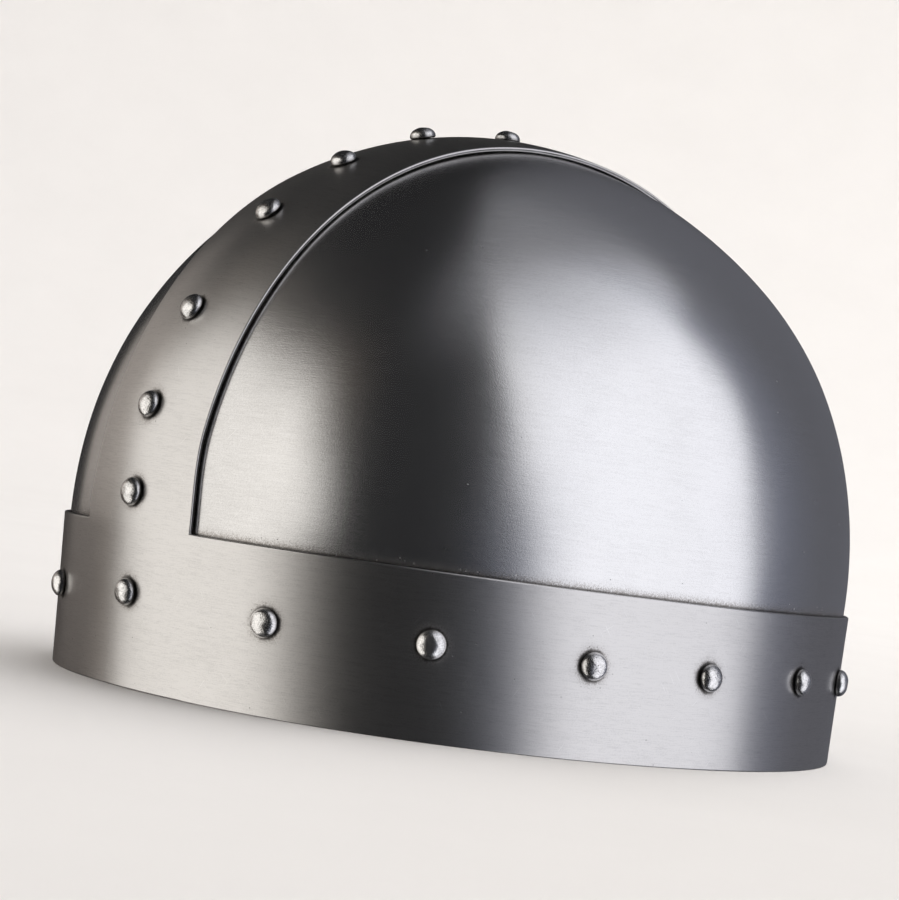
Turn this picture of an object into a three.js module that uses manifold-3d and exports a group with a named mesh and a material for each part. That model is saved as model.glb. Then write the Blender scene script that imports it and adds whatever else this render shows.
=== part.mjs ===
// Spangenhelm: two domed side plates under a steel frame, which is a brow band and a ridge
// band welded into one piece, all held by round-headed rivets.
// Millimetres, +Z up. The rim stands on z = 0, the forehead faces -Y, and left is the
// wearer's left, +X.
import * as THREE from 'three';
import { mergeVertices } from 'three/addons/utils/BufferGeometryUtils.js';
import Module from 'manifold-3d';

const wasm = await Module();
wasm.setup();

// Skull shape, to the outside of the side plates
const skullHalfWidth = 98.8;
const skullHalfLength = 112;
const skullWidestHeight = 44.7;
const skullRise = 113.9;
// Fullness beyond an ellipsoid, as shares of the local radius
const fullness = { sideShoulder: 0.044, endShoulder: 0.054, quarter: 0.094, sideTurn: 0.176 };

// Frame
const frameSheet = 1.2;
const browHeight = 41;
const ridgeWidth = 42.8;
// Inward lean of the brow band below its top edge, as a slope
const browLean = { front: 0.098, back: 0.085, side: -0.046 };

// Side plates
const plateSheet = 1.2;
const plateTuck = 30;
const plateLap = 8;
const joggleRun = 24;

// Rivets
const headDiameter = 8;
const headHeight = 3.2;
const shankDiameter = 4;
const tailDiameter = 6;
const tailHeight = 1.2;
// The brow row lies this far below the brow band's top edge
const browRowDrop = 17.7;

// Clearances
const layerGap = 0.3;
const holeClearance = 0.3;
// A flat facet lies up to this much inside the true curve
const facetDepth = 0.4;

// Mesh fineness
const columns = 48;
const domeRows = 10;
const holeSides = 6;
const rivetSides = 8;

// Rivets of the brow row. Along is the share of the row's length from the front centre
// towards the wearer's left, and lift the hand-set height off the row as a share of the head.
const browRivets = [
  { name: 'front', along: 0.0028, lift: 0.14 },
  { name: 'left_1', along: 0.0704, lift: -0.06 },
  { name: 'left_2', along: 0.1316, lift: 0.03 },
  { name: 'left_3', along: 0.1926, lift: -0.03 },
  { name: 'left_4', along: 0.2457, lift: -0.04 },
  { name: 'left_5', along: 0.3053, lift: 0.03 },
  { name: 'left_6', along: 0.3575, lift: -0.03 },
  { name: 'left_7', along: 0.4285, lift: 0.02 },
  { name: 'back', along: 0.4990, lift: 0.05 },
  { name: 'right_7', along: -0.4300, lift: -0.03 },
  { name: 'right_6', along: -0.3660, lift: 0.06 },
  { name: 'right_5', along: -0.3010, lift: -0.02 },
  { name: 'right_4', along: -0.2470, lift: 0.04 },
  { name: 'right_3', along: -0.1850, lift: -0.05 },
  { name: 'right_2', along: -0.1240, lift: 0.03 },
  { name: 'right_1', along: -0.0626, lift: -0.15 },
];

// Rivets of the ridge row. Along is the share of the ridge from the brow band's top edge at
// the front to its top edge at the back, and across the share of the ridge band's width.
const ridgeRivets = [
  { along: 0.0224, across: 0.018 },
  { along: 0.0827, across: -0.022 },
  { along: 0.1576, across: -0.023 },
  { along: 0.2520, across: -0.028 },
  { along: 0.3262, across: -0.003 },
  { along: 0.4050, across: -0.020 },
  { along: 0.4845, across: 0.015 },
  { along: 0.5660, across: 0.010 },
  { along: 0.6480, across: -0.018 },
  { along: 0.7290, across: 0.020 },
  { along: 0.8110, across: -0.008 },
  { along: 0.8940, across: 0.015 },
  { along: 0.9770, across: -0.012 },
];

// Depths of the layers, measured outwards from the outside of the right plate, and the
// height of the brow row
const frameInside = layerGap;
const frameOutside = frameInside + frameSheet;
const lapDrop = plateSheet + layerGap;
const browRowHeight = browHeight - browRowDrop;

// A point of the skull: azimuth runs from the forehead towards the wearer's left, and rise
// goes up from the widest height to the top
function skullPoint(offset, azimuth, rise) {
  const ex = Math.sin(azimuth) * Math.cos(rise);
  const ey = -Math.cos(azimuth) * Math.cos(rise);
  const ez = Math.sin(rise);
  const xx = ex * ex;
  const yy = ey * ey;
  const zz = ez * ez;
  const full = 1 + fullness.sideShoulder * xx * zz + fullness.endShoulder * yy * zz
    + fullness.quarter * xx * yy + fullness.sideTurn * xx * zz * (xx - zz);
  return new THREE.Vector3(
    (skullHalfWidth + offset) * ex * full,
    (skullHalfLength + offset) * ey * full,
    skullWidestHeight + (skullRise + offset) * ez * full,
  );
}

// The rise at which a layer is at a given height
function riseAtHeight(offset, azimuth, height) {
  const passes = 12;
  let rise = Math.asin((height - skullWidestHeight) / (skullRise + offset));
  for (let pass = 0; pass < passes; pass += 1) {
    const error = skullPoint(offset, azimuth, rise).z - height;
    rise -= error / skullRise;
  }
  return rise;
}

// A point of the brow zone, a straight wall that leans below the brow band's top edge
function browPoint(offset, azimuth, height) {
  const top = skullPoint(offset, azimuth, riseAtHeight(offset, azimuth, browHeight));
  const facing = Math.cos(azimuth) ** 2;
  const endLean = Math.cos(azimuth) > 0 ? browLean.front : browLean.back;
  const lean = endLean * facing + browLean.side * (1 - facing);
  const shrink = 1 - lean * (browHeight - height) / Math.hypot(top.x, top.y);
  return new THREE.Vector3(top.x * shrink, top.y * shrink, height);
}

function smoothStep(share) {
  const clamped = Math.min(Math.max(share, 0), 1);
  return clamped * clamped * (3 - 2 * clamped);
}

// The left plate dips under the right one and comes back up beyond the ridge band
function leftPlateDrop(x) {
  return -lapDrop * (1 - smoothStep((x - ridgeWidth / 2) / joggleRun));
}

// One column of points from a layer's lower edge to just under the top
function layerColumn(offset, azimuth, bottom, drop) {
  const column = [];
  const depthAt = (x) => offset + drop(x);
  const low = browPoint(offset, azimuth, bottom);
  column.push(browPoint(depthAt(low.x), azimuth, bottom));
  const edge = browPoint(offset, azimuth, browHeight);
  column.push(browPoint(depthAt(edge.x), azimuth, browHeight));
  for (let row = 1; row < domeRows; row += 1) {
    const start = riseAtHeight(offset, azimuth, browHeight);
    const rise = start + (Math.PI / 2 - start) * row / domeRows;
    const outer = skullPoint(offset, azimuth, rise);
    column.push(skullPoint(depthAt(outer.x), azimuth, rise));
  }
  return column;
}

// A closed sheet of the skull between two depths, open at the bottom
function skullSheet(outside, inside, bottom, drop = () => 0) {
  const positions = [];
  const indices = [];
  const rows = domeRows + 1;
  const skinStart = [];
  for (const offset of [outside, inside]) {
    skinStart.push(positions.length / 3);
    for (let step = 0; step < columns; step += 1) {
      const azimuth = 2 * Math.PI * step / columns;
      for (const point of layerColumn(offset, azimuth, bottom, drop)) {
        positions.push(point.x, point.y, point.z);
      }
    }
    const top = skullPoint(offset + drop(0), 0, Math.PI / 2);
    positions.push(top.x, top.y, top.z);
  }
  const at = (skin, step, row) => skinStart[skin] + (step % columns) * rows + row;
  const topOf = (skin) => skinStart[skin] + columns * rows;
  const addFace = (skin, a, b, c) => {
    indices.push(...(skin === 0 ? [a, b, c] : [a, c, b]));
  };
  for (let step = 0; step < columns; step += 1) {
    for (let skin = 0; skin < 2; skin += 1) {
      for (let row = 0; row < rows - 1; row += 1) {
        addFace(skin, at(skin, step, row), at(skin, step + 1, row), at(skin, step + 1, row + 1));
        addFace(skin, at(skin, step, row), at(skin, step + 1, row + 1), at(skin, step, row + 1));
      }
      addFace(skin, at(skin, step, rows - 1), at(skin, step + 1, rows - 1), topOf(skin));
    }
    addFace(0, at(0, step, 0), at(1, step, 0), at(1, step + 1, 0));
    addFace(0, at(0, step, 0), at(1, step + 1, 0), at(0, step + 1, 0));
  }
  const geometry = new THREE.BufferGeometry();
  geometry.setAttribute('position', new THREE.Float32BufferAttribute(positions, 3));
  geometry.setIndex(indices);
  return geometry;
}

function toSolid(geometry) {
  const bare = geometry.clone();
  bare.deleteAttribute('normal');
  bare.deleteAttribute('uv');
  const merged = mergeVertices(bare, 1e-5);
  return new wasm.Manifold(new wasm.Mesh({
    numProp: 3,
    vertProperties: new Float32Array(merged.attributes.position.array),
    triVerts: new Uint32Array(merged.index.array),
  }));
}

function toGeometry(solid) {
  const mesh = solid.getMesh();
  const geometry = new THREE.BufferGeometry();
  geometry.setAttribute('position', new THREE.Float32BufferAttribute(mesh.vertProperties, 3));
  geometry.setIndex(Array.from(mesh.triVerts));
  geometry.computeVertexNormals();
  return geometry;
}

// A box cutter between two corners
function boxSolid(low, high) {
  const size = high.map((value, axis) => value - low[axis]);
  const box = new THREE.BoxGeometry(...size);
  box.translate(...high.map((value, axis) => (value + low[axis]) / 2));
  return toSolid(box);
}

// Where a rivet sits on the frame, and the way out of the metal there
function seatFrom(pointAt, u, v) {
  const small = 1e-3;
  const along = pointAt(u + small, v).sub(pointAt(u - small, v));
  const upward = pointAt(u, v + small).sub(pointAt(u, v - small));
  const outward = along.cross(upward).normalize();
  return { point: pointAt(u, v), outward };
}

// A curve's points with their running length, to find a place by its share of the length
function placeAlong(points, share) {
  const lengths = [0];
  for (let i = 1; i < points.length; i += 1) {
    lengths.push(lengths[i - 1] + points[i].position.distanceTo(points[i - 1].position));
  }
  const wanted = share * lengths[lengths.length - 1];
  const after = Math.max(1, lengths.findIndex((length) => length >= wanted));
  const part = (wanted - lengths[after - 1]) / (lengths[after] - lengths[after - 1]);
  return THREE.MathUtils.lerp(points[after - 1].value, points[after].value, part);
}

const curveSteps = 360;

function browSeat({ along, lift }) {
  const row = [];
  for (let step = 0; step <= curveSteps; step += 1) {
    const value = 2 * Math.PI * step / curveSteps;
    row.push({ value, position: browPoint(frameOutside, value, browRowHeight) });
  }
  const azimuth = placeAlong(row, (along + 1) % 1);
  const height = browRowHeight + lift * headDiameter;
  return seatFrom((u, v) => browPoint(frameOutside, u, v), azimuth, height);
}

// The ridge runs over the top in the plane x = 0, so its rise goes on past the top
function ridgeSeat({ along, across }) {
  const row = [];
  const frontRise = riseAtHeight(frameOutside, 0, browHeight);
  const backRise = Math.PI - riseAtHeight(frameOutside, Math.PI, browHeight);
  for (let step = 0; step <= curveSteps; step += 1) {
    const value = THREE.MathUtils.lerp(frontRise, backRise, step / curveSteps);
    row.push({ value, position: skullPoint(frameOutside, 0, value) });
  }
  const rise = placeAlong(row, along);
  const lean = Math.asin(across * ridgeWidth / skullHalfWidth);
  const pointAt = (u, v) => {
    const centre = skullPoint(frameOutside, 0, v);
    const side = skullHalfWidth * Math.sin(u);
    const bow = skullHalfWidth * (1 - Math.cos(u));
    const inward = new THREE.Vector3(0, -centre.y, skullWidestHeight - centre.z).normalize();
    return centre.addScaledVector(inward, bow).add(new THREE.Vector3(side, 0, 0));
  };
  return seatFrom(pointAt, lean, rise);
}

const seats = [];
for (const entry of browRivets) {
  const both = entry.name === 'front' || entry.name === 'back';
  const left = both || entry.name.startsWith('left');
  const right = both || entry.name.startsWith('right');
  seats.push({ name: `brow_rivet_${entry.name}`, ...browSeat(entry), left, right });
}
ridgeRivets.forEach((entry, index) => {
  const number = String(index + 1).padStart(2, '0');
  seats.push({ name: `ridge_rivet_${number}`, ...ridgeSeat(entry), left: true, right: true });
});

// Places a shape made along +Y so that +Y points out of the metal at a seat
function stand(object, seat) {
  object.quaternion.setFromUnitVectors(new THREE.Vector3(0, 1, 0), seat.outward);
  object.position.copy(seat.point);
  object.updateMatrix();
  return object;
}

function drill(solid, wanted) {
  const reach = 30;
  // Clearance is to the flats of the hole
  const radius = (shankDiameter / 2 + holeClearance) / Math.cos(Math.PI / holeSides);
  let drilled = solid;
  for (const seat of wanted) {
    const bit = new THREE.CylinderGeometry(radius, radius, reach, holeSides);
    const placed = stand(new THREE.Object3D(), seat);
    bit.applyMatrix4(placed.matrix);
    drilled = drilled.subtract(toSolid(bit));
  }
  return drilled;
}

// Frame: one sheet of the skull's shape with a window on each side of the ridge band
function frameSolid() {
  const far = 2 * skullHalfLength;
  let solid = toSolid(skullSheet(frameOutside, frameInside, 0));
  solid = solid.subtract(boxSolid([ridgeWidth / 2, -far, browHeight], [far, far, far]));
  solid = solid.subtract(boxSolid([-far, -far, browHeight], [-ridgeWidth / 2, far, far]));
  return drill(solid, seats);
}

// A side plate: half of a skull sheet that runs past the centre line by the lap and is
// tucked down behind the brow band
function plateSolid(side) {
  const far = 2 * skullHalfLength;
  const bottom = browHeight - plateTuck;
  const drop = side === 'left' ? leftPlateDrop : () => 0;
  const solid = toSolid(skullSheet(0, -plateSheet, bottom, drop));
  const away = side === 'left'
    ? boxSolid([-far, -far, -far], [-plateLap, far, far])
    : boxSolid([plateLap, -far, -far], [far, far, far]);
  return drill(solid.subtract(away), seats.filter((seat) => seat[side]));
}

// A rivet's turned profile: domed head, shank through the layers, and peened tail
function rivetGeometry(seat) {
  const layers = seat.left && seat.right ? 2 : 1;
  const stack = frameSheet + layers * (layerGap + plateSheet);
  const tailTop = -stack - layerGap - facetDepth;
  const headRadius = headDiameter / 2;
  const tailRadius = tailDiameter / 2;
  const profile = [
    [0, tailTop - tailHeight],
    [tailRadius * 0.7, tailTop - tailHeight],
    [tailRadius, tailTop],
    [shankDiameter / 2, tailTop],
    [shankDiameter / 2, layerGap],
    [headRadius, layerGap],
    [headRadius * 0.72, headHeight * 0.78],
    [0, headHeight],
  ];
  return new THREE.LatheGeometry(profile.map(([r, y]) => new THREE.Vector2(r, y)), rivetSides);
}

const frameSteel = new THREE.MeshStandardMaterial({ color: 0xb9b8b3, roughness: 0.34, metalness: 1 });
const plateSteel = new THREE.MeshStandardMaterial({ color: 0xaeadaa, roughness: 0.32, metalness: 1 });
const rivetSteel = new THREE.MeshStandardMaterial({ color: 0xc2c0ba, roughness: 0.3, metalness: 1 });

function namedMesh(name, geometry, material) {
  const mesh = new THREE.Mesh(geometry, material.clone());
  mesh.name = name;
  return mesh;
}

const helmet = new THREE.Group();
helmet.name = 'spangenhelm';
helmet.add(namedMesh('frame_band', toGeometry(frameSolid()), frameSteel));
helmet.add(namedMesh('side_plate_left', toGeometry(plateSolid('left')), plateSteel));
helmet.add(namedMesh('side_plate_right', toGeometry(plateSolid('right')), plateSteel));
for (const seat of seats) {
  const mesh = namedMesh(seat.name, rivetGeometry(seat), rivetSteel);
  helmet.add(stand(mesh, seat));
}

export default helmet;
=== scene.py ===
import math
import bmesh
import bpy
import numpy
from mathutils import Matrix, Vector
from mathutils.bvhtree import BVHTree


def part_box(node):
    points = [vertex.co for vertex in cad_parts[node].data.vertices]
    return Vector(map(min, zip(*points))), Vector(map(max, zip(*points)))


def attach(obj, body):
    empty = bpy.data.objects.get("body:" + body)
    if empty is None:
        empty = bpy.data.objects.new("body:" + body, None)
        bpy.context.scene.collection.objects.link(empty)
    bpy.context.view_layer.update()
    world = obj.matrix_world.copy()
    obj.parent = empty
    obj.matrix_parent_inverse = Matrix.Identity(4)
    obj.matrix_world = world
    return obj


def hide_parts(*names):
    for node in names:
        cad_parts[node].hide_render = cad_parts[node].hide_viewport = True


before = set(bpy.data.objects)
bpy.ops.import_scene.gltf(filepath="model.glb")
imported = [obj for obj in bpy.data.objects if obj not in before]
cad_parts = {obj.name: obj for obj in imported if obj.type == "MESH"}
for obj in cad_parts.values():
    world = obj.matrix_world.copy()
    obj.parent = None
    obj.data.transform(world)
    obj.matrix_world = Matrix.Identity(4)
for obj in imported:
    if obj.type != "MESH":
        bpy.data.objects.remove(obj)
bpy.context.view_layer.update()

# Camera
# A long lens just above the floor, looking at the helmet's left front corner from a little
# below its middle. It is rolled, so the rim runs down to the right in the picture.
view_azimuth = math.radians(49.13)
view_elevation = math.radians(-1.107)
view_roll = math.radians(7.93)
view_distance = 0.6956
view_aim = Vector((0.0, -0.01067, 0.07196))
sensor_height = 36.0
focal_share = 2492.6 / 900

toward_camera = Vector((
    math.sin(view_azimuth) * math.cos(view_elevation),
    -math.cos(view_azimuth) * math.cos(view_elevation),
    math.sin(view_elevation),
))
level_right = Vector((math.cos(view_azimuth), math.sin(view_azimuth), 0.0))
level_up = toward_camera.cross(level_right)
camera_right = level_right * math.cos(view_roll) + level_up * math.sin(view_roll)
camera_up = toward_camera.cross(camera_right)
camera_data = bpy.data.cameras.new("camera")
camera_data.sensor_fit = "VERTICAL"
camera_data.sensor_height = sensor_height
camera_data.lens = sensor_height * focal_share
camera = bpy.data.objects.new("camera", camera_data)
turn = Matrix((camera_right, camera_up, toward_camera)).transposed().to_4x4()
camera.matrix_world = Matrix.Translation(view_aim + toward_camera * view_distance) @ turn
bpy.context.scene.collection.objects.link(camera)
bpy.context.scene.camera = camera


# Frame band
# A brow band and a band over the ridge, cut from 1.2 mm steel sheet, bent over the skull's
# form, welded where they meet and ground flush. Brushed, then darkened and rubbed bright again.
half_width = 0.0988
half_length = 0.112
widest_height = 0.0447
rise = 0.1139
side_shoulder = 0.044
end_shoulder = 0.054
quarter_fullness = 0.094
side_turn = 0.176
brow_height = 0.041
lean_front = 0.098
lean_back = 0.085
lean_side = -0.046
sheet = 0.0012
layer_gap = 0.0003
ridge_half = 0.0214
corner_flare = 0.0021
flare_run = 0.026
mesh_step = 0.0024
frame_depth = layer_gap + sheet


def fullness(direction):
    xx, yy, zz = (part * part for part in direction)
    return (1 + side_shoulder * xx * zz + end_shoulder * yy * zz
            + quarter_fullness * xx * yy + side_turn * xx * zz * (xx - zz))


# The direction from the skull's middle whose raised point has the wanted x, at an angle
# that turns from the forehead over the top to the nape
def ridge_direction(x, angle, depth):
    across = x / (half_width + depth)
    for _ in range(6):
        along = math.sqrt(max(1 - across * across, 0.0))
        direction = (across, -math.cos(angle) * along, math.sin(angle) * along)
        across = x / ((half_width + depth) * fullness(direction))
    return Vector(direction)


# The direction whose raised point is at the brow band's top edge, at an azimuth that turns
# from the forehead towards the wearer's left
def brow_direction(azimuth, depth):
    lift = 0.0
    for _ in range(6):
        level = math.sqrt(1 - lift * lift)
        direction = (math.sin(azimuth) * level, -math.cos(azimuth) * level, lift)
        lift = (brow_height - widest_height) / ((rise + depth) * fullness(direction))
    return Vector(direction)


class NodeMaker:
    """Adds nodes to a tree and links them as they are made."""

    def __init__(self, tree):
        self.tree = tree

    def add(self, kind, settings=None, **inputs):
        node = self.tree.nodes.new(kind)
        for name, value in (settings or {}).items():
            setattr(node, name, value)
        for name, value in inputs.items():
            self.feed(node, name, value)
        return node

    def feed(self, node, name, value):
        if name.startswith("i") and name[1:].isdigit():
            self.feed_socket(node.inputs[int(name[1:])], value)
        else:
            self.feed_socket(node.inputs[name.replace("_", " ")], value)

    def feed_socket(self, socket, value):
        if isinstance(value, bpy.types.NodeSocket):
            self.tree.links.new(value, socket)
        else:
            socket.default_value = value

    def math(self, operation, *values):
        kind = "ShaderNodeMath"
        inputs = {f"i{index}": value for index, value in enumerate(values)}
        return self.add(kind, {"operation": operation}, **inputs).outputs[0]

    def vector(self, operation, *values):
        kind = "ShaderNodeVectorMath"
        inputs = {f"i{index}": value for index, value in enumerate(values)}
        node = self.add(kind, {"operation": operation}, **inputs)
        return node.outputs["Value" if operation == "DOT_PRODUCT" else "Vector"]

    def combine(self, x, y, z=0.0):
        return self.add("ShaderNodeCombineXYZ", None, X=x, Y=y, Z=z).outputs[0]

    def separate(self, vector):
        return self.add("ShaderNodeSeparateXYZ", None, i0=vector).outputs

    def scaled(self, vector, factor):
        kind = "ShaderNodeVectorMath"
        return self.add(kind, {"operation": "SCALE"}, i0=vector, Scale=factor).outputs[0]

    def noise(self, place, scale, detail, roughness=0.5, dimensions="3D"):
        kind = "ShaderNodeTexNoise"
        return self.add(kind, {"noise_dimensions": dimensions}, Vector=place, Scale=scale,
                        Detail=detail, Roughness=roughness).outputs[0]

    def ramp(self, value, low, high, at_low=0.0, at_high=1.0):
        kind = "ShaderNodeMapRange"
        return self.add(kind, {"interpolation_type": "SMOOTHSTEP"}, Value=value, From_Min=low,
                        From_Max=high, To_Min=at_low, To_Max=at_high).outputs[0]

    def attribute(self, name, kind="FLOAT"):
        node = "GeometryNodeInputNamedAttribute"
        return self.add(node, {"data_type": kind}, Name=name).outputs["Attribute"]


def new_group(name, kind, inputs, outputs):
    tree = bpy.data.node_groups.new(name, kind)
    for label, socket_type, value in inputs:
        socket = tree.interface.new_socket(label, in_out="INPUT", socket_type=socket_type)
        if value is not None:
            socket.default_value = value
    for label, socket_type in outputs:
        tree.interface.new_socket(label, in_out="OUTPUT", socket_type=socket_type)
    make = NodeMaker(tree)
    return tree, make, make.add("NodeGroupInput").outputs, make.add("NodeGroupOutput")


float_socket = "NodeSocketFloat"
vector_socket = "NodeSocketVector"
geometry_socket = "NodeSocketGeometry"


# The last nodes of a tree: smooth shading, real geometry and its steel
def end_tree(make, given, result, geometry):
    smooth = make.add("GeometryNodeSetShadeSmooth", None, Geometry=geometry)
    whole = make.add("GeometryNodeRealizeInstances", None, Geometry=smooth.outputs[0])
    done = make.add("GeometryNodeSetMaterial", None, Geometry=whole.outputs[0],
                    Material=given["Steel"])
    make.feed(result, "i0", done.outputs[0])


# Raises a blank that lies on a unit sphere over the skull's form. The blank's attribute
# below_brow is how far a point lies under the brow band's top edge, and sink how far the
# sheet dips there.
def skull_form_tree():
    tree, make, given, result = new_group("raise over the skull", "GeometryNodeTree", [
        ("Blank", geometry_socket, None),
        ("Half Width", float_socket, half_width),
        ("Half Length", float_socket, half_length),
        ("Widest Height", float_socket, widest_height),
        ("Rise", float_socket, rise),
        ("Side Shoulder", float_socket, side_shoulder),
        ("End Shoulder", float_socket, end_shoulder),
        ("Quarter Fullness", float_socket, quarter_fullness),
        ("Side Turn", float_socket, side_turn),
        ("Depth", float_socket, 0.0),
        ("Lean Front", float_socket, lean_front),
        ("Lean Back", float_socket, lean_back),
        ("Lean Side", float_socket, lean_side),
        ("Wave Size", float_socket, 0.05),
        ("Wave Depth", float_socket, 0.0002),
        ("Wave Seed", float_socket, 1.0),
        ("Steel", "NodeSocketMaterial", None),
    ], [("Sheet", geometry_socket)])
    calc = make.math
    place = make.add("GeometryNodeInputPosition").outputs[0]
    below = make.attribute("below_brow")
    sink = make.attribute("sink")
    x, y, z = make.separate(place)
    xx = calc("MULTIPLY", x, x)
    yy = calc("MULTIPLY", y, y)
    zz = calc("MULTIPLY", z, z)
    xz = calc("MULTIPLY", xx, zz)
    turned = calc("MULTIPLY", xz, calc("SUBTRACT", xx, zz))
    full = calc("MULTIPLY_ADD", xz, given["Side Shoulder"], 1.0)
    full = calc("MULTIPLY_ADD", calc("MULTIPLY", yy, zz), given["End Shoulder"], full)
    full = calc("MULTIPLY_ADD", calc("MULTIPLY", xx, yy), given["Quarter Fullness"], full)
    full = calc("MULTIPLY_ADD", turned, given["Side Turn"], full)
    depth = calc("SUBTRACT", given["Depth"], sink)
    axes = [calc("ADD", given[name], depth) for name in ("Half Width", "Half Length", "Rise")]
    raised_x = calc("MULTIPLY", calc("MULTIPLY", axes[0], x), full)
    raised_y = calc("MULTIPLY", calc("MULTIPLY", axes[1], y), full)
    raised_z = calc("MULTIPLY_ADD", calc("MULTIPLY", axes[2], z), full, given["Widest Height"])
    radius = calc("SQRT", calc("ADD", calc("MULTIPLY", raised_x, raised_x),
                               calc("MULTIPLY", raised_y, raised_y)))
    level = calc("MAXIMUM", calc("ADD", xx, yy), 1e-9)
    facing = calc("DIVIDE", yy, level)
    at_back = calc("GREATER_THAN", y, 0.0)
    end_lean = calc("MULTIPLY_ADD", at_back,
                    calc("SUBTRACT", given["Lean Back"], given["Lean Front"]), given["Lean Front"])
    lean = calc("MULTIPLY_ADD", facing, calc("SUBTRACT", end_lean, given["Lean Side"]),
                given["Lean Side"])
    inward = calc("DIVIDE", calc("MULTIPLY", lean, below), calc("MAXIMUM", radius, 1e-6))
    shrink = calc("SUBTRACT", 1.0, inward)
    raised = make.combine(calc("MULTIPLY", raised_x, shrink), calc("MULTIPLY", raised_y, shrink),
                          calc("SUBTRACT", raised_z, below))
    shaped = make.add("GeometryNodeSetPosition", None, Geometry=given["Blank"], Position=raised)
    # Slow waves left by hammering and planishing
    there = make.add("GeometryNodeInputPosition").outputs[0]
    seed = given["Wave Seed"]
    seeded = make.vector("ADD", there, make.combine(seed, seed, seed))
    waves = make.noise(seeded, calc("DIVIDE", 1.0, given["Wave Size"]), 1.0, 0.35)
    height = calc("MULTIPLY", calc("SUBTRACT", waves, 0.5), given["Wave Depth"])
    outward = make.add("GeometryNodeInputNormal").outputs[0]
    waved = make.add("GeometryNodeSetPosition", None, Geometry=shaped.outputs[0],
                     Offset=make.scaled(outward, height))
    end_tree(make, given, result, waved.outputs[0])
    return tree


skull_form = skull_form_tree()


# Runs a tree on a mesh with its named inputs, and gives the result as a plain object
def formed(name, mesh, tree, values):
    source = bpy.data.objects.new(name + "_blank", mesh)
    bpy.context.scene.collection.objects.link(source)
    modifier = source.modifiers.new("form", "NODES")
    modifier.node_group = tree
    for item in tree.interface.items_tree:
        if item.item_type == "SOCKET" and item.in_out == "INPUT" and item.name in values:
            modifier[item.identifier] = values[item.name]
    evaluated = source.evaluated_get(bpy.context.evaluated_depsgraph_get())
    plain = bpy.data.meshes.new_from_object(evaluated)
    source.modifiers.remove(modifier)
    bpy.data.objects.remove(source)
    plain.name = name
    piece = bpy.data.objects.new(name, plain)
    bpy.context.scene.collection.objects.link(piece)
    return piece


# One value at each point of a mesh, for a tree or a steel to read
def set_values(mesh, label, values):
    mesh.attributes.new(label, "FLOAT", "POINT").data.foreach_set("value", values)


def point_places(mesh):
    places = numpy.empty(len(mesh.vertices) * 3)
    mesh.vertices.foreach_get("co", places)
    return places.reshape(-1, 3)


# A blank from points that each hold a direction and values for its attributes, and faces
# that hold their corners' points and places on the grain map. That map is in metres and its
# first axis follows the brushing, which runs level round the helmet.
def blank_mesh(name, points, faces, attributes):
    mesh = bpy.data.meshes.new(name)
    mesh.from_pydata([point["direction"] for point in points], [], [face[0] for face in faces])
    for label in attributes:
        set_values(mesh, label, [point.get(label, 0.0) for point in points])
    grain = mesh.uv_layers.new(name="grain")
    grain.data.foreach_set("uv", [part for face in faces for corner in face[1] for part in corner])
    return mesh


# A soft fall from one to nought
def easing(value):
    share = min(max(value, 0.0), 1.0)
    return 1 - share * share * (3 - 2 * share)


# The frame's blank: a strip over the ridge whose end rows are shared with a ring round the
# brow. The left side of the strip widens a little where it meets the brow.
def frame_blank():
    points = []
    faces = []
    columns = 2 * round(ridge_half / mesh_step)
    rows = 2 * round(math.pi * half_length / mesh_step / 2)
    top_angle = math.asin((brow_height - widest_height) / (rise + frame_depth))
    strip = []
    for row in range(rows + 1):
        angle = top_angle + (math.pi - 2 * top_angle) * row / rows
        climb = half_length * min(angle - top_angle, math.pi - top_angle - angle)
        widening = corner_flare * easing(climb / flare_run)
        line = []
        for column in range(columns + 1):
            share = 2 * column / columns - 1
            x = ridge_half * share + widening * max(share, 0.0)
            line.append(len(points))
            points.append({"direction": ridge_direction(x, angle, frame_depth),
                           "grain": (x, angle * half_length)})
        strip.append(line)
    for low, high in zip(strip, strip[1:]):
        for column in range(columns):
            corners = (low[column], low[column + 1], high[column + 1], high[column])
            faces.append((corners, [points[index]["grain"] for index in corners]))
    # Top row of the ring: front end of the strip, left side, back end, right side
    corner = points[strip[0][-1]]["direction"]
    corner_azimuth = math.atan2(corner.x, -corner.y)
    back = points[strip[-1][-1]]["direction"]
    back_azimuth = math.atan2(back.x, -back.y)
    side_steps = round((back_azimuth - corner_azimuth) * half_length / mesh_step)

    def side_row(start, end):
        line = []
        for step in range(1, side_steps):
            azimuth = start + (end - start) * step / side_steps
            line.append(len(points))
            points.append({"direction": brow_direction(azimuth, frame_depth)})
        return line

    ring = list(strip[0])
    ring += side_row(corner_azimuth, back_azimuth)
    ring += list(reversed(strip[-1]))
    ring += side_row(2 * math.pi - back_azimuth, 2 * math.pi - corner_azimuth)
    lengths = []
    for index in ring + ring[:1]:
        direction = points[index]["direction"]
        length = math.atan2(direction.x, -direction.y) * half_length
        if lengths and length < lengths[-1] - half_length:
            length += 2 * math.pi * half_length
        lengths.append(length)
    depth_rows = round(brow_height / mesh_step)
    above = ring
    for row in range(1, depth_rows + 1):
        below = brow_height * row / depth_rows
        over = brow_height * (row - 1) / depth_rows
        line = []
        for index in ring:
            line.append(len(points))
            points.append({"direction": points[index]["direction"], "below_brow": below})
        for step in range(len(ring)):
            after = (step + 1) % len(ring)
            faces.append(((above[step], line[step], line[after], above[after]),
                          ((lengths[step], -over), (lengths[step], -below),
                           (lengths[step + 1], -below), (lengths[step + 1], -over))))
        above = line
    return blank_mesh("frame_band_blank", points, faces, ("below_brow", "sink"))


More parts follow.
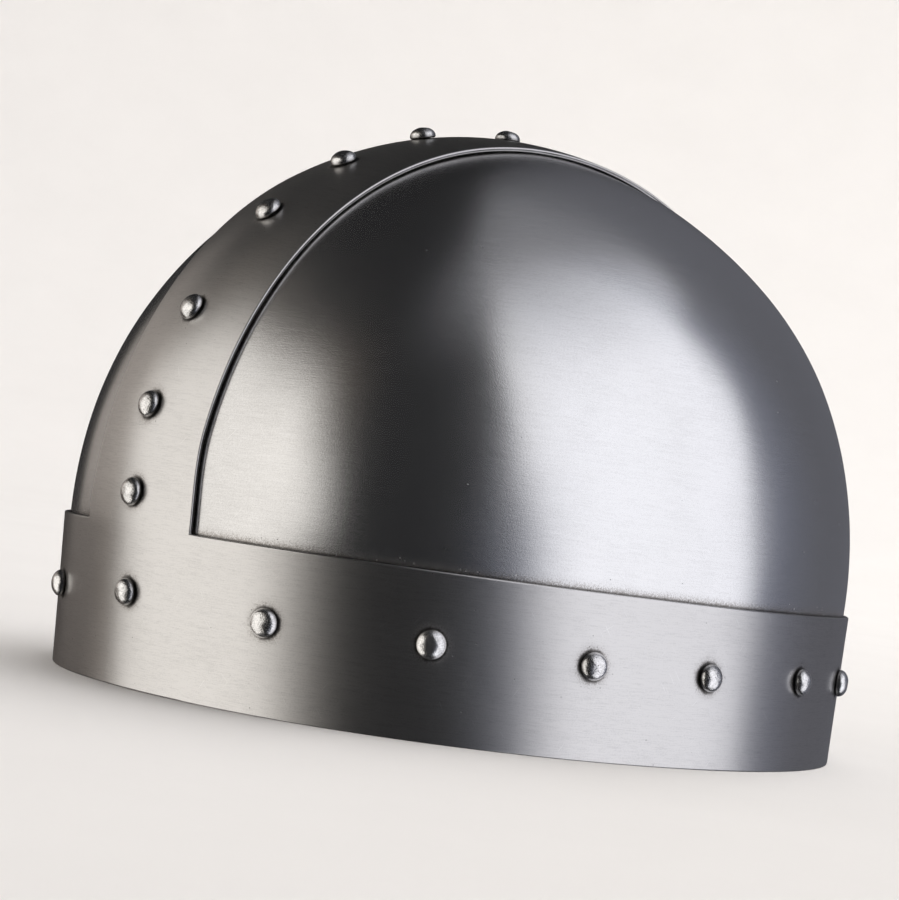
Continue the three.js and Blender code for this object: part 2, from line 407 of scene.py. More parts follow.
# Each rivet's seat is the point of the frame's outside that is nearest to its CAD solid
def rivet_seats(surface):
    tree = BVHTree.FromObject(surface, bpy.context.evaluated_depsgraph_get())
    seats = {}
    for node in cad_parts:
        if "rivet" in node:
            low, high = (Vector(corner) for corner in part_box(node))
            place, outward, _, _ = tree.find_nearest((low + high) / 2)
            seats[node] = (place, outward)
    return seats


# How far each point of a mesh lies from the nearest rivet, for the dirt round the heads
def add_rivet_distance(piece, seats):
    places = point_places(piece.data)
    nearest = numpy.full(len(places), 1.0)
    for place, _ in seats.values():
        nearest = numpy.minimum(nearest, numpy.linalg.norm(places - numpy.array(place), axis=1))
    set_values(piece.data, "rivet_distance", nearest)


# Gives a sheet its thickness, inwards, and edges that are rounded in the sheet's own steel,
# with the cut face between them left dark
def finish_sheet(piece, thickness, rounding):
    piece.data.materials.append(cut_steel)
    wall = piece.modifiers.new("wall", "SOLIDIFY")
    wall.thickness = thickness
    wall.offset = -1.0
    wall.use_even_offset = True
    wall.material_offset_rim = 1
    edges = piece.modifiers.new("rounded edges", "BEVEL")
    edges.width = rounding
    edges.segments = 2
    edges.limit_method = "ANGLE"
    edges.angle_limit = math.radians(50)
    edges.harden_normals = True
    edges.material = 0


# Fine brushing: thin streaks along the grain map's first axis, as a height and a shade
def brushing_group():
    tree, make, given, result = new_group("steel brushing", "ShaderNodeTree", [
        ("Grain Map", vector_socket, None),
        ("Streak Length", float_socket, 0.005),
        ("Streak Width", float_socket, 0.0003),
    ], [("Height", float_socket), ("Shade", float_socket)])
    calc = make.math
    along, across, _ = make.separate(given["Grain Map"])
    stretched = make.combine(calc("DIVIDE", along, given["Streak Length"]),
                             calc("DIVIDE", across, given["Streak Width"]))
    fine = make.noise(stretched, 1.0, 2.0, 0.6, "2D")
    wide = make.noise(stretched, 0.22, 1.0, 0.5, "2D")
    shade = calc("MULTIPLY_ADD", wide, 0.25, calc("MULTIPLY", fine, 0.75))
    make.feed(result, "Height", fine)
    make.feed(result, "Shade", calc("SUBTRACT", shade, 0.5))
    return tree


# Dark patina: slow clouds, sparse pits, and dirt that gathers in sheltered places as a soft
# stain with a fringe of specks
def patina_group():
    tree, make, given, result = new_group("steel patina", "ShaderNodeTree", [
        ("Place", vector_socket, None),
        ("Shelter", float_socket, 0.0),
        ("Cloud Size", float_socket, 0.02),
        ("Pit Size", float_socket, 0.0004),
        ("Pit Share", float_socket, 0.1),
    ], [("Clouds", float_socket), ("Pits", float_socket), ("Dirt", float_socket),
        ("Grain", float_socket)])
    calc = make.math
    clouds = make.noise(given["Place"], calc("DIVIDE", 1.0, given["Cloud Size"]), 3.0, 0.55)
    pit_scale = calc("DIVIDE", 1.0, given["Pit Size"])
    fine = make.noise(given["Place"], calc("MULTIPLY", pit_scale, 0.9), 1.0)
    # A pit is a small cell of its own, kept only where its random number is low
    cells = make.add("ShaderNodeTexVoronoi", {"feature": "F1"}, Vector=given["Place"],
                     Scale=calc("MULTIPLY", pit_scale, 0.45))
    lot = make.add("ShaderNodeSeparateColor", None, Color=cells.outputs["Color"]).outputs[0]
    crowd = calc("MULTIPLY", given["Shelter"], given["Shelter"])
    kept = calc("LESS_THAN", lot, calc("MULTIPLY_ADD", crowd, 0.22, given["Pit Share"]))
    round_pit = make.ramp(cells.outputs["Distance"], 0.12, 0.3, 1.0, 0.0)
    specks = make.ramp(calc("MULTIPLY_ADD", crowd, 0.3, fine), 0.55, 0.85)
    stain = calc("MULTIPLY_ADD", clouds, 0.5, calc("MULTIPLY", specks, 0.75))
    make.feed(result, "Clouds", calc("SUBTRACT", clouds, 0.5))
    make.feed(result, "Pits", calc("MULTIPLY", kept, round_pit))
    make.feed(result, "Dirt", calc("MULTIPLY", crowd, stain))
    make.feed(result, "Grain", calc("SUBTRACT", fine, 0.5))
    return tree


# Hairline scratches: short thin streaks that run in two directions across the grain map
def scratch_group():
    tree, make, given, result = new_group("steel scratches", "ShaderNodeTree", [
        ("Grain Map", vector_socket, None),
        ("Length", float_socket, 0.02),
        ("Width", float_socket, 0.0003),
        ("Rarity", float_socket, 0.72),
    ], [("Scratch", float_socket)])
    calc = make.math
    bend = make.noise(given["Grain Map"], 30.0, 0.0, 0.5, "2D")
    total = 0.0
    for turn_about in (0.9, 2.3):
        turned = make.add("ShaderNodeMapping", None, Vector=given["Grain Map"],
                          Rotation=(0.0, 0.0, turn_about)).outputs[0]
        along, across, _ = make.separate(turned)
        bent = calc("MULTIPLY_ADD", bend, 0.008, across)
        stretched = make.combine(calc("DIVIDE", along, given["Length"]),
                                 calc("DIVIDE", bent, given["Width"]))
        streak = make.noise(stretched, 1.0, 0.0, 0.5, "2D")
        line = make.ramp(streak, given["Rarity"], calc("ADD", given["Rarity"], 0.06))
        total = calc("ADD", line, total)
    make.feed(result, "Scratch", calc("MINIMUM", total, 1.0))
    return tree


steel_brushing = brushing_group()
steel_patina = patina_group()
steel_scratches = scratch_group()


# Places a group in a material with its own values
def use_group(make, tree, **inputs):
    return make.add("ShaderNodeGroup", {"node_tree": tree}, **inputs).outputs


def named_value(make, name):
    kind = "ShaderNodeAttribute"
    return make.add(kind, {"attribute_name": name}).outputs["Fac"]


# A falling ramp: one at nothing, nought at the given distance
def closeness(make, distance, reach):
    return make.ramp(distance, 0.0, reach, 1.0, 0.0)


def blend_color(make, share, first, second):
    node = make.add("ShaderNodeMix", {"data_type": "RGBA", "clamp_factor": True})
    make.feed(node, "i0", share)
    make.feed(node, "i6", first)
    make.feed(node, "i7", second)
    return node.outputs[2]


def new_steel(name):
    steel = bpy.data.materials.new(name)
    steel.use_nodes = True
    tree = steel.node_tree
    tree.nodes.clear()
    make = NodeMaker(tree)
    shader = make.add("ShaderNodeBsdfPrincipled", None, Metallic=1.0)
    output = make.add("ShaderNodeOutputMaterial")
    make.feed(output, "Surface", shader.outputs[0])
    place = make.add("ShaderNodeTexCoord").outputs["Object"]
    return steel, make, shader, place


# Brushed sheet reflects sharply along the brushing and smears across it
def follow_grain(make, shader):
    grain = make.add("ShaderNodeUVMap", {"uv_map": "grain"}).outputs[0]
    tangent = make.add("ShaderNodeTangent", {"direction_type": "UV_MAP", "uv_map": "grain"})
    make.feed(shader, "Tangent", tangent.outputs[0])
    shader.inputs["Anisotropic"].default_value = 0.55
    shader.inputs["Anisotropic Rotation"].default_value = 0.25
    return grain


# A sheet's tone under its dirt, its dark joint line of dirt and painted shade, its pits and
# scratches
def worn_and_shaded_tone(make, tone, patina, contact_dirt_and_shade, contact_share, scratch):
    tone = blend_color(make, make.math("MULTIPLY", patina["Dirt"], 0.6), tone, brown_oxide)
    tone = blend_color(make, make.math("MULTIPLY", contact_dirt_and_shade, contact_share), tone, dark_oxide_and_shade)
    tone = blend_color(make, make.math("MULTIPLY", patina["Pits"], 0.6), tone, dark_oxide_and_shade)
    return blend_color(make, make.math("MULTIPLY", scratch, 0.5), tone, rubbed_steel)


# Brushing and pits stand a few thousandths of a millimetre above and below the sheet
def sheet_relief(make, shader, patina, brushed):
    relief = make.math("MULTIPLY_ADD", patina["Grain"], 0.9, brushed["Height"])
    relief = make.math("MULTIPLY_ADD", patina["Pits"], -2.5, relief)
    bump = make.add("ShaderNodeBump", None, Strength=1.0, Distance=0.000009, Height=relief)
    make.feed(shader, "Normal", bump.outputs[0])


bright_frame = (0.69, 0.68, 0.67, 1.0)
dull_frame = (0.47, 0.465, 0.46, 1.0)
rubbed_steel = (0.93, 0.93, 0.92, 1.0)
# Dark oxide in pits and on cut faces, and the colour of painted contact shade at joints and rivet
# feet
dark_oxide_and_shade = (0.07, 0.066, 0.062, 1.0)
brown_oxide = (0.13, 0.095, 0.07, 1.0)
sawn_steel = (0.30, 0.30, 0.31, 1.0)
frame_roughness = 0.3
frame_rounding = 0.0004

cut_steel, make, shader, place = new_steel("cut steel")
patina = use_group(make, steel_patina, Place=place, Cloud_Size=0.006)
tone = blend_color(make, make.math("MULTIPLY_ADD", patina["Clouds"], 2.0, 0.5),
                   sawn_steel, dark_oxide_and_shade)
make.feed(shader, "Base_Color", tone)
shader.inputs["Roughness"].default_value = 0.42

frame_steel, make, shader, place = new_steel("brushed frame steel")
grain = follow_grain(make, shader)
brushed = use_group(make, steel_brushing, Grain_Map=grain, Streak_Length=0.0045,
                    Streak_Width=0.00024)
rivet_distance = named_value(make, "rivet_distance")
near_rivet = closeness(make, make.math("SUBTRACT", rivet_distance, 0.003), 0.005)
# A thin dark ring at each rivet head's edge: dirt and painted contact shade
contact_dirt_and_shade = closeness(make, make.math("SUBTRACT", rivet_distance, 0.0038), 0.0008)
patina = use_group(make, steel_patina, Place=place, Shelter=near_rivet, Cloud_Size=0.018,
                   Pit_Size=0.00032, Pit_Share=0.0035)
scratch = use_group(make, steel_scratches, Grain_Map=grain, Length=0.007, Width=0.0002,
                    Rarity=0.872)[0]
shade = make.math("MULTIPLY_ADD", patina["Clouds"], 0.5, 0.08)
shade = make.math("MULTIPLY_ADD", brushed["Shade"], 1.4, shade)
shade = make.math("MULTIPLY_ADD", patina["Grain"], 0.8, shade)
tone = blend_color(make, shade, bright_frame, dull_frame)
make.feed(shader, "Base_Color", worn_and_shaded_tone(make, tone, patina, contact_dirt_and_shade, 0.85, scratch))
gloss = make.math("MULTIPLY_ADD", patina["Clouds"], 0.07, frame_roughness)
for mark, roughening in ((patina["Dirt"], 0.25), (scratch, 0.12), (patina["Pits"], 0.25)):
    gloss = make.math("MULTIPLY_ADD", mark, roughening, gloss)
make.feed(shader, "Roughness", gloss)
sheet_relief(make, shader, patina, brushed)

frame_band = formed("frame_band_steel", frame_blank(), skull_form, {
    "Depth": frame_depth,
    "Wave Size": 0.045,
    "Wave Depth": 0.0002,
    "Wave Seed": 3.0,
    "Steel": frame_steel,
})
seats = rivet_seats(frame_band)
add_rivet_distance(frame_band, seats)
finish_sheet(frame_band, sheet, frame_rounding)
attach(frame_band, "root")
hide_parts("frame_band")


# Side plates
# Two halves of a skull, raised from 1.2 mm sheet by hammering over a form and planished
# smooth. They lap along the ridge, the left one underneath, and tuck behind the brow band.
plate_tuck = 0.030
plate_lap = 0.008
lap_drop = sheet + layer_gap
hidden_run = 0.012
shown_drop = 0.0002
shown_run = 0.013
bright_plate = (0.84, 0.84, 0.84, 1.0)
dull_plate = (0.57, 0.565, 0.56, 1.0)
plate_roughness = 0.238
plate_rounding = 0.00022


# The blank of a whole skull, cut along the lap later. Its pole is under the ridge band. Both
# plates dip a little along the band's edge. Under the band the left one goes on down beneath
# the right one, which comes back up over it.
def plate_blank(name, side):
    points = []
    faces = []
    columns = 4 * round(math.pi * half_length / mesh_step / 2)
    dome_rows = round(math.pi * rise / 2 / mesh_step)
    tuck_rows = round(plate_tuck / mesh_step)
    grid = []
    row_radius = []
    for row in range(-tuck_rows, dome_rows):
        line = []
        for column in range(columns):
            azimuth = 2 * math.pi * column / columns
            start = brow_direction(azimuth, 0.0)
            climb = math.asin(start.z)
            climb += (math.pi / 2 - climb) * max(row, 0) / dome_rows
            direction = Vector((math.sin(azimuth) * math.cos(climb),
                                -math.cos(azimuth) * math.cos(climb), math.sin(climb)))
            below = plate_tuck * max(-row, 0) / tuck_rows
            x = half_width * direction.x * fullness(direction)
            line.append(len(points))
            points.append({"direction": direction, "below_brow": below, "x": x})
        grid.append(line)
        row_radius.append(half_length * math.cos(climb))
    row_radius.append(0.0)
    pole = len(points)
    points.append({"direction": Vector((0.0, 0.0, 1.0)), "x": 0.0})

    # Level brushing: the way along the row in metres, and the way up to the row
    def grain_of(row, column):
        return (row_radius[row] * 2 * math.pi * column / columns, mesh_step * (row - tuck_rows))

    for row, (low, high) in enumerate(zip(grid, grid[1:])):
        for column in range(columns):
            after = (column + 1) % columns
            faces.append(((low[column], low[after], high[after], high[column]),
                          (grain_of(row, column), grain_of(row, column + 1),
                           grain_of(row + 1, column + 1), grain_of(row + 1, column))))
    top = len(grid) - 1
    for column in range(columns):
        faces.append(((grid[-1][column], grid[-1][(column + 1) % columns], pole),
                      (grain_of(top, column), grain_of(top, column + 1),
                       grain_of(top + 1, column))))
    for point in points:
        aside = side * point["x"]
        lapped = easing((aside - plate_lap - layer_gap) / hidden_run)
        point["sink"] = shown_drop * easing((aside - ridge_half) / shown_run)
        if side > 0:
            point["sink"] += (lap_drop - shown_drop) * lapped
        else:
            point["sink"] *= 1 - lapped
    return blank_mesh(name, points, faces, ("below_brow", "sink"))


# Cuts the raised skull along the lap and notes how near each point is to the frame's window
def trim_plate(piece, side):
    mesh = bmesh.new()
    mesh.from_mesh(piece.data)
    bmesh.ops.bisect_plane(
        mesh, geom=mesh.verts[:] + mesh.edges[:] + mesh.faces[:], dist=1e-6,
        plane_co=(-side * plate_lap, 0, 0), plane_no=(-side, 0, 0), clear_outer=True)
    mesh.to_mesh(piece.data)
    mesh.free()
    x, _, z = point_places(piece.data).T
    set_values(piece.data, "ridge_distance", numpy.maximum(numpy.abs(x) - ridge_half, 0.0))
    set_values(piece.data, "brow_distance", numpy.maximum(z - brow_height, 0.0))


plate_steel, make, shader, place = new_steel("planished plate steel")
grain = follow_grain(make, shader)
brushed = use_group(make, steel_brushing, Grain_Map=grain, Streak_Length=0.006,
                    Streak_Width=0.00024)
ridge_distance = named_value(make, "ridge_distance")
brow_distance = named_value(make, "brow_distance")
near_brow = closeness(make, brow_distance, 0.004)
# A thin dark line along the brow band's edge: dirt and painted contact shade
contact_dirt_and_shade = closeness(make, brow_distance, 0.0008)
near_ridge = closeness(make, ridge_distance, 0.003)
shelter = make.math("MAXIMUM", near_brow, make.math("MULTIPLY", near_ridge, 0.55))
patina = use_group(make, steel_patina, Place=place, Shelter=shelter, Cloud_Size=0.024,
                   Pit_Size=0.00034, Pit_Share=0.0012)
scratch = use_group(make, steel_scratches, Grain_Map=grain, Length=0.009, Width=0.0002,
                    Rarity=0.86)[0]
shade = make.math("MULTIPLY_ADD", patina["Clouds"], 0.5, 0.08)
shade = make.math("MULTIPLY_ADD", brushed["Shade"], 0.7, shade)
shade = make.math("MULTIPLY_ADD", patina["Grain"], 0.7, shade)
# Darker within 50 mm of the ridge band: patina, and painted shade beside the band
shade = make.math("MULTIPLY_ADD", closeness(make, ridge_distance, 0.05), 0.5, shade)
tone = blend_color(make, shade, bright_plate, dull_plate)
make.feed(shader, "Base_Color", worn_and_shaded_tone(make, tone, patina, contact_dirt_and_shade, 0.8, scratch))
# Less metallic where there is dirt and painted contact shade
dirt_and_contact_shade = make.math("MAXIMUM", patina["Dirt"], contact_dirt_and_shade)
make.feed(shader, "Metallic", make.math("MULTIPLY_ADD", dirt_and_contact_shade, -0.12, 1.0))
gloss = make.math("MULTIPLY_ADD", patina["Clouds"], 0.06, plate_roughness)
gloss = make.math("MULTIPLY_ADD", patina["Pits"], 0.3, gloss)
make.feed(shader, "Roughness", gloss)
sheet_relief(make, shader, patina, brushed)

for name, side, seed in (("left", 1, 7.0), ("right", -1, 11.0)):
    plate = formed(f"side_plate_{name}_steel", plate_blank(f"plate_{name}", side), skull_form, {
        "Wave Size": 0.04,
        "Wave Depth": 0.0005,
        "Wave Seed": seed,
        "Steel": plate_steel,
    })
    trim_plate(plate, side)
    finish_sheet(plate, sheet, plate_rounding)
    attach(plate, "root")
    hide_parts(f"side_plate_{name}")


# Rivets
# Round-headed steel rivets put through the layers from outside and peened over inside. The
# heads were tapped down by hand, so each has its own small flats and tilt.
head_radius = 0.0037
head_height = 0.0032
shank_radius = 0.002
tail_radius = 0.003
tail_height = 0.0012
tail_gap = 0.0002
foot_lift = 0.00005
foot_shade_height = 0.0018
single_grip = frame_depth + sheet
double_grip = single_grip + layer_gap + sheet
bright_rivet = (0.88, 0.875, 0.87, 1.0)
dull_rivet = (0.5, 0.495, 0.49, 1.0)
rivet_roughness = 0.235
hammer_relief = 0.00009


# One rivet along +Z as a turned profile: head, rounded foot, shank and peened tail. The
# attribute tail marks what moves down with a thicker grip.
def rivet_mesh():
    tail_top = -single_grip - tail_gap
    profile = []
    head_steps = 12
    for step in range(head_steps):
        angle = math.pi / 2 * step / head_steps
        radius = head_radius * math.sin(angle) ** 0.95
        profile.append((radius, head_height * (0.2 + 0.8 * math.cos(angle) ** 0.95), 0))
    profile += [
        (head_radius, head_height * 0.2, 0),
        (head_radius * 0.985, head_height * 0.11, 0),
        (head_radius * 0.93, head_height * 0.04, 0),
        (head_radius * 0.86, foot_lift, 0),
        (shank_radius, foot_lift, 0),
        (shank_radius, tail_top, 1),
        (tail_radius * 0.93, tail_top, 1),
        (tail_radius, tail_top - tail_height * 0.3, 1),
        (tail_radius * 0.88, tail_top - tail_height * 0.7, 1),
        (tail_radius * 0.5, tail_top - tail_height * 0.97, 1),
        (0.0, tail_top - tail_height, 1),
    ]
    sides = 36
    vertices = []
    tails = []
    rings = []
    for radius, height, tail in profile:
        ring = []
        for side in range(sides if radius > 0 else 1):
            angle = 2 * math.pi * side / sides
            ring.append(len(vertices))
            vertices.append((radius * math.cos(angle), radius * math.sin(angle), height))
            tails.append(tail)
        rings.append(ring)
    faces = []
    for upper, lower in zip(rings, rings[1:]):
        for side in range(sides):
            after = (side + 1) % sides
            corners = [upper[side % len(upper)], lower[side % len(lower)],
                       lower[after % len(lower)], upper[after % len(upper)]]
            faces.append(tuple(dict.fromkeys(corners)))
    mesh = bpy.data.meshes.new("rivet")
    mesh.from_pydata(vertices, [], faces)
    set_values(mesh, "tail", tails)
    return mesh


# Stands a rivet on every seat point, along its outward attribute, turns and sizes each by
# a fixed seed, moves its tail by the extra grip, and hammers small flats into the head
def rivet_tree():
    tree, make, given, result = new_group("rivet row", "GeometryNodeTree", [
        ("Seats", geometry_socket, None),
        ("Rivet", "NodeSocketObject", None),
        ("Size Spread", float_socket, 0.05),
        ("Tilt", float_socket, 0.05),
        ("Flat Size", float_socket, 0.0026),
        ("Flat Depth", float_socket, 0.0003),
        ("Seed", "NodeSocketInt", 1),
        ("Steel", "NodeSocketMaterial", None),
    ], [("Rivets", geometry_socket)])
    calc = make.math

    # Each draw has an offset of its own to the row's seed
    def random(low, high, offset):
        seed = calc("ADD", given["Seed"], float(offset))
        node = make.add("FunctionNodeRandomValue", {"data_type": "FLOAT"}, Seed=seed)
        for socket in node.inputs:
            if socket.type == "VALUE" and socket.name == "Min":
                make.feed_socket(socket, low)
            if socket.type == "VALUE" and socket.name == "Max":
                make.feed_socket(socket, high)
        return next(out for out in node.outputs if out.type == "VALUE")

    outward = make.attribute("outward", "FLOAT_VECTOR")
    upright = make.add("FunctionNodeAlignRotationToVector", {"axis": "Z"},
                       Vector=outward).outputs[0]
    other_way = calc("MULTIPLY", given["Tilt"], -1.0)
    wobble = make.combine(random(other_way, given["Tilt"], 1),
                          random(other_way, given["Tilt"], 2), random(0.0, 2 * math.pi, 3))
    to_rotation = make.add("FunctionNodeEulerToRotation", None, Euler=wobble).outputs[0]
    turned = make.add("FunctionNodeRotateRotation", {"rotation_space": "LOCAL"},
                      Rotation=upright, Rotate_By=to_rotation).outputs[0]
    smallest = calc("SUBTRACT", 1.0, given["Size Spread"])
    size = random(smallest, 1.0, 4)
    scale = make.combine(size, size, random(smallest, 1.0, 5))
    shape = make.add("GeometryNodeObjectInfo", {"transform_space": "ORIGINAL"},
                     Object=given["Rivet"]).outputs["Geometry"]
    stood = make.add("GeometryNodeInstanceOnPoints", None, Points=given["Seats"],
                     Instance=shape, Rotation=turned, Scale=scale)
    real = make.add("GeometryNodeRealizeInstances", None, Geometry=stood.outputs[0])
    tail = make.attribute("tail")
    drop = calc("MULTIPLY", calc("MULTIPLY", tail, make.attribute("extra_grip")), -1.0)
    lowered = make.add("GeometryNodeSetPosition", None, Geometry=real.outputs[0],
                       Offset=make.scaled(outward, drop))
    # Flats: rounded cells, pressed in along the rivet's own axis
    place = make.add("GeometryNodeInputPosition").outputs[0]
    cells = make.add("ShaderNodeTexVoronoi", {"feature": "SMOOTH_F1"}, Vector=place,
                     Scale=calc("DIVIDE", 1.0, given["Flat Size"]), Smoothness=0.6).outputs[0]
    pressed = calc("MULTIPLY", calc("SUBTRACT", cells, 0.75), given["Flat Depth"])
    on_head = calc("SUBTRACT", 1.0, tail)
    facing = make.vector("DOT_PRODUCT", make.add("GeometryNodeInputNormal").outputs[0], outward)
    shallow = calc("MULTIPLY", calc("MAXIMUM", facing, 0.0), on_head)
    inward = calc("MINIMUM", calc("MULTIPLY", pressed, shallow), 0.0)
    hammered = make.add("GeometryNodeSetPosition", None, Geometry=lowered.outputs[0],
                        Offset=make.scaled(outward, inward))
    end_tree(make, given, result, hammered.outputs[0])
    return tree


rivet_steel, make, shader, place = new_steel("peened rivet steel")
# Each head darkens towards its foot: dirt and painted contact shade
foot_dirt_and_shade = closeness(make, named_value(make, "seat_height"), foot_shade_height)
patina = use_group(make, steel_patina, Place=place, Cloud_Size=0.0016, Pit_Size=0.0003,
                   Pit_Share=0.08)
shade = make.math("MULTIPLY_ADD", patina["Clouds"], 1.6, 0.25)
shade = make.math("MULTIPLY_ADD", patina["Grain"], 1.2, shade)
tone = blend_color(make, shade, bright_rivet, dull_rivet)
tone = blend_color(make, make.math("MULTIPLY", foot_dirt_and_shade, 0.85), tone, dark_oxide_and_shade)
tone = blend_color(make, make.math("MULTIPLY", patina["Pits"], 0.8), tone, dark_oxide_and_shade)
make.feed(shader, "Base_Color", tone)
gloss = make.math("MULTIPLY_ADD", patina["Clouds"], 0.08, rivet_roughness)
make.feed(shader, "Roughness", gloss)
relief = make.math("MULTIPLY_ADD", patina["Grain"], 0.5, patina["Clouds"])
bump = make.add("ShaderNodeBump", None, Strength=1.0, Distance=hammer_relief, Height=relief)
make.feed(shader, "Normal", bump.outputs[0])

rivet_pattern = bpy.data.objects.new("rivet_pattern", rivet_mesh())
bpy.context.scene.collection.objects.link(rivet_pattern)
rivet_row = rivet_tree()

for row, seed in (("brow", 5), ("ridge", 9)):
    nodes = [node for node in seats if node.startswith(row)]
    points = bpy.data.meshes.new(f"{row}_seats")
    points.from_pydata([seats[node][0] for node in nodes], [], [])
    outward = points.attributes.new("outward", "FLOAT_VECTOR", "POINT")
    outward.data.foreach_set("vector", [part for node in nodes for part in seats[node][1]])
    single = [row == "brow" and not node.endswith(("front", "back")) for node in nodes]
    set_values(points, "extra_grip",
               [0.0 if one else double_grip - single_grip for one in single])
    rivets = formed(f"{row}_rivets", points, rivet_row, {
        "Rivet": rivet_pattern,
        "Seed": seed,
        "Steel": rivet_steel,
    })
    # Height over the seat, for the dark ring of dirt and painted contact shade at each head's foot
    heights = []
    for vertex in rivets.data.vertices:
        place, way = min((seats[node] for node in nodes),
                         key=lambda seat: (seat[0] - vertex.co).length_squared)
        heights.append(max((vertex.co - place).dot(way), 0.0))
    set_values(rivets.data, "seat_height", heights)
    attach(rivets, "root")
    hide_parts(*nodes)
bpy.data.objects.remove(rivet_pattern)


# Floor and backdrop
# A pale sheet of paper that rises in a wide curve behind the helmet, so no horizon shows.
def paper_sweep():
    mesh = bmesh.new()
    reach = 1.8
    bend = 1.4
    wall_height = 5.0
    bend_steps = 16
    profile = [(0.0, 0.0)]
    for step in range(bend_steps + 1):
        angle = step * math.pi / (2 * bend_steps)
        profile.append((reach + bend * math.sin(angle), bend * (1 - math.cos(angle))))
    profile.append((reach + bend, wall_height))
    sides = 96
    rings = []
    for radius, height in profile:
        ring = []
        for side in range(sides if radius > 0 else 1):
            angle = 2 * math.pi * side / sides
            ring.append(mesh.verts.new((radius * math.cos(angle), radius * math.sin(angle),
                                        height)))
        rings.append(ring)
    for inner, outer in zip(rings, rings[1:]):
        for side in range(sides):
            after = (side + 1) % sides
            if len(inner) == 1:
                mesh.faces.new((inner[0], outer[side], outer[after]))
            else:
                mesh.faces.new((inner[side], outer[side], outer[after], inner[after]))
    sweep = bpy.data.meshes.new("paper_sweep")
    mesh.to_mesh(sweep)
    mesh.free()
    for face in sweep.polygons:
        face.use_smooth = True
    return bpy.data.objects.new("paper_sweep", sweep)


paper = bpy.data.materials.new("pale paper")
paper.use_nodes = True
make = NodeMaker(paper.node_tree)
paper_shader = paper.node_tree.nodes["Principled BSDF"]
paper_shader.inputs["Roughness"].default_value = 0.9
place = make.add("ShaderNodeTexCoord").outputs["Object"]
mottle = make.noise(place, 9.0, 6.0, 0.6)
light_paper = (0.87, 0.855, 0.84, 1.0)
dark_paper = (0.82, 0.805, 0.79, 1.0)
make.feed(paper_shader, "Base_Color", blend_color(make, mottle, light_paper, dark_paper))
floor = paper_sweep()
bpy.context.scene.collection.objects.link(floor)
floor.data.materials.append(paper)
# The steel mirrors the dark studio, not the paper, and the paper lets the studio's light in
floor.visible_glossy = False
floor.visible_shadow = False


# Light
# A dark studio with a large warm soft box towards the forehead, a cooler one behind the left
# side and dim light elsewhere. The steel shows them by their direction alone, so they are
# painted on the world as soft-edged panels. A wide lamp high behind the helmet lights the paper.
def panel_group():
    tree, make, given, result = new_group("soft panel", "ShaderNodeTree", [
        ("Azimuth", float_socket, 0.0),
        ("Elevation", float_socket, 0.0),
        ("Start", float_socket, -30.0),
        ("End", float_socket, 30.0),
        ("Start Softness", float_socket, 5.0),
        ("End Softness", float_socket, 5.0),
        ("Bottom", float_socket, -30.0),
        ("Top", float_socket, 40.0),
        ("Bottom Softness", float_socket, 5.0),
        ("Top Softness", float_socket, 10.0),
    ], [("Share", float_socket)])
    calc = make.math

    # Nought to one as the value passes the named edge
    def passed(value, name):
        half = calc("MULTIPLY", given[name + " Softness"], 0.5)
        return make.ramp(given[value], calc("SUBTRACT", given[name], half),
                         calc("ADD", given[name], half))

    across = calc("SUBTRACT", passed("Azimuth", "Start"), passed("Azimuth", "End"))
    upright = calc("SUBTRACT", passed("Elevation", "Bottom"), passed("Elevation", "Top"))
    make.feed(result, "Share", calc("MULTIPLY", across, upright))
    return tree


soft_panel = panel_group()
world = bpy.data.worlds.new("dark studio")
world.use_nodes = True
world.cycles.sampling_method = "NONE"
bpy.context.scene.world = world
make = NodeMaker(world.node_tree)
background = world.node_tree.nodes["Background"]
way = make.add("ShaderNodeTexCoord").outputs["Generated"]
x, y, z = make.separate(way)
elevation = make.math("DEGREES", make.math("ARCSINE", z))
# Degrees from the forehead to the wearer's left, from -130 at the dark right back to 230
azimuth = make.math("DEGREES", make.math("ARCTAN2", x, make.math("MULTIPLY", y, -1.0)))
azimuth = make.math("WRAP", azimuth, 230.0, -130.0)


# How far an edge has moved at each elevation, between none and all of its shift
def shifted(edge, low, high, shift):
    return make.add("ShaderNodeMapRange", None, Value=elevation, From_Min=low, From_Max=high,
                    To_Min=edge, To_Max=edge + shift).outputs[0]


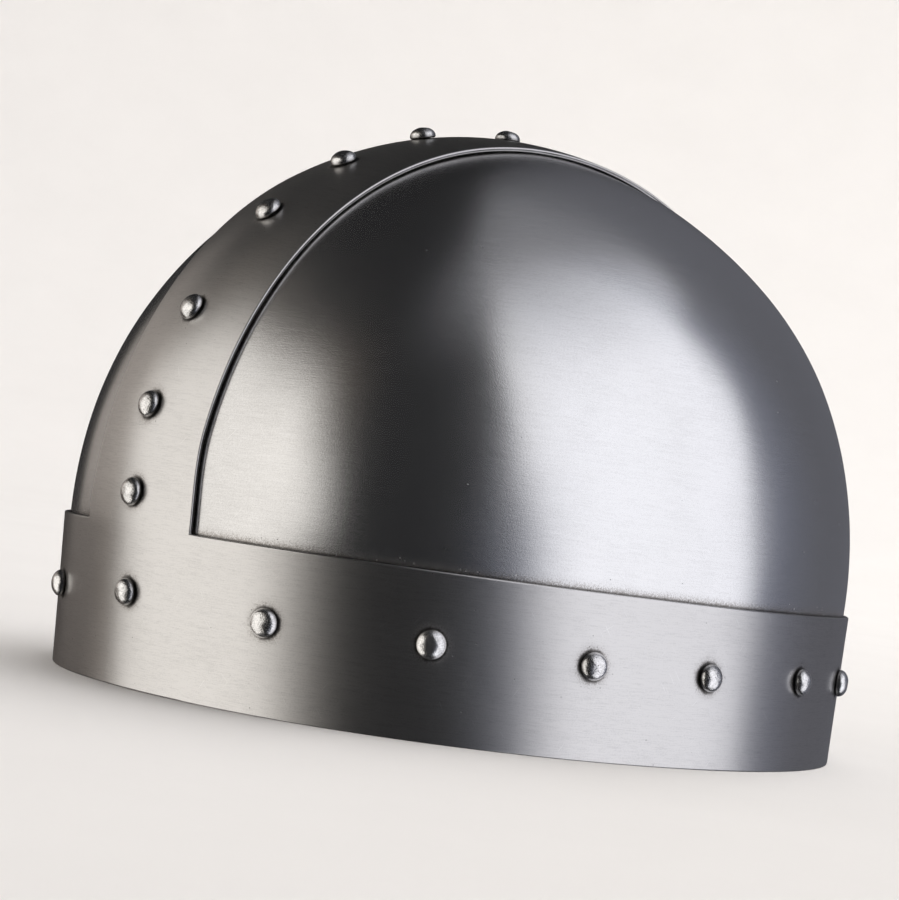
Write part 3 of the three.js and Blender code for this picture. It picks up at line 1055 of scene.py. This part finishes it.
# The warm box draws in towards its top
warm_start = make.math("ADD", shifted(-58.3, 2, 12, -7.5), shifted(0.0, 18, 38, 20.0))
warm_end = make.math("MINIMUM", shifted(3.4, -8, 0, 13.6), shifted(17.0, 8, 48, -25.5))
cool_start = make.math("ADD", shifted(89.5, 0, 16, -13.2), shifted(0.0, 16, 60, -10.5))
cool_start_soft = shifted(19.0, 0, 16, -14)
cool_end = shifted(146.7, 10, 28, 3.0)
studio_panels = (
    # start and end azimuth and their softness, bottom and top and theirs, strength, colour
    (warm_start, warm_end, 3, 25, -60, 35.5, 10, 13, 1.05, (0.99, 0.965, 0.925)),
    (-70.0, 14.0, 10, 30, -60, 44, 10, 20, 0.04, (1.35, 0.95, 0.6)),
    (cool_start, cool_end, cool_start_soft, 8, -60, 63, 10, 54, 0.91, (0.995, 0.985, 1.0)),
    (84.0, 128.0, 26, 40, -60, 50, 10, 30, 0.12, (0.97, 0.97, 1.05)),
    (76.0, 160.0, 30, 30, -60, 70, 10, 30, 0.05, (0.6, 0.8, 1.5)),
    (146.0, 178.0, 20, 24, 48, 62, 10, 20, 0.35, (0.97, 0.98, 1.04)),
    (-96.0, -64.0, 6, 4, -3, 26, 8, 20, 0.36, (1.04, 0.935, 0.85)),
    (-128.0, -62.0, 4, 4, -60, -3, 10, 8, 0.045, (1.16, 0.94, 0.82)),
    (130.0, 222.0, 14, 16, -40, 60, 30, 40, 0.10, (0.95, 0.96, 1.12)),
    (40.0, 226.0, 60, 8, 60, 95, 30, 10, 0.19, (0.98, 0.98, 1.05)),
)
dim_studio = (0.021, 0.021, 0.022, 1.0)
studio_light = make.add("ShaderNodeRGB").outputs[0]
studio_light.default_value = dim_studio
for (start, end, start_soft, end_soft, low, high, low_soft, high_soft, strength,
     color) in studio_panels:
    share = use_group(make, soft_panel, Azimuth=azimuth, Elevation=elevation, Start=start,
                      End=end, Start_Softness=start_soft, End_Softness=end_soft, Bottom=low,
                      Top=high, Bottom_Softness=low_soft, Top_Softness=high_soft)[0]
    glow = make.scaled(tuple(strength * part for part in color), share)
    studio_light = make.vector("ADD", studio_light, glow)
make.feed(background, "Color", studio_light)

paper_light = bpy.data.lights.new("paper_light", "AREA")
paper_light.shape = "DISK"
paper_light.size = 5.0
paper_light.energy = 121
paper_light.color = (1.0, 0.985, 0.97)
paper_lamp = bpy.data.objects.new("paper_light", paper_light)
paper_lamp.location = (0.4, 1.95, 3.0)
# It is for the paper alone and doesn't show in the steel
paper_lamp.visible_glossy = False
bpy.context.scene.collection.objects.link(paper_lamp)
bpy.context.scene.view_settings.view_transform = "Standard"
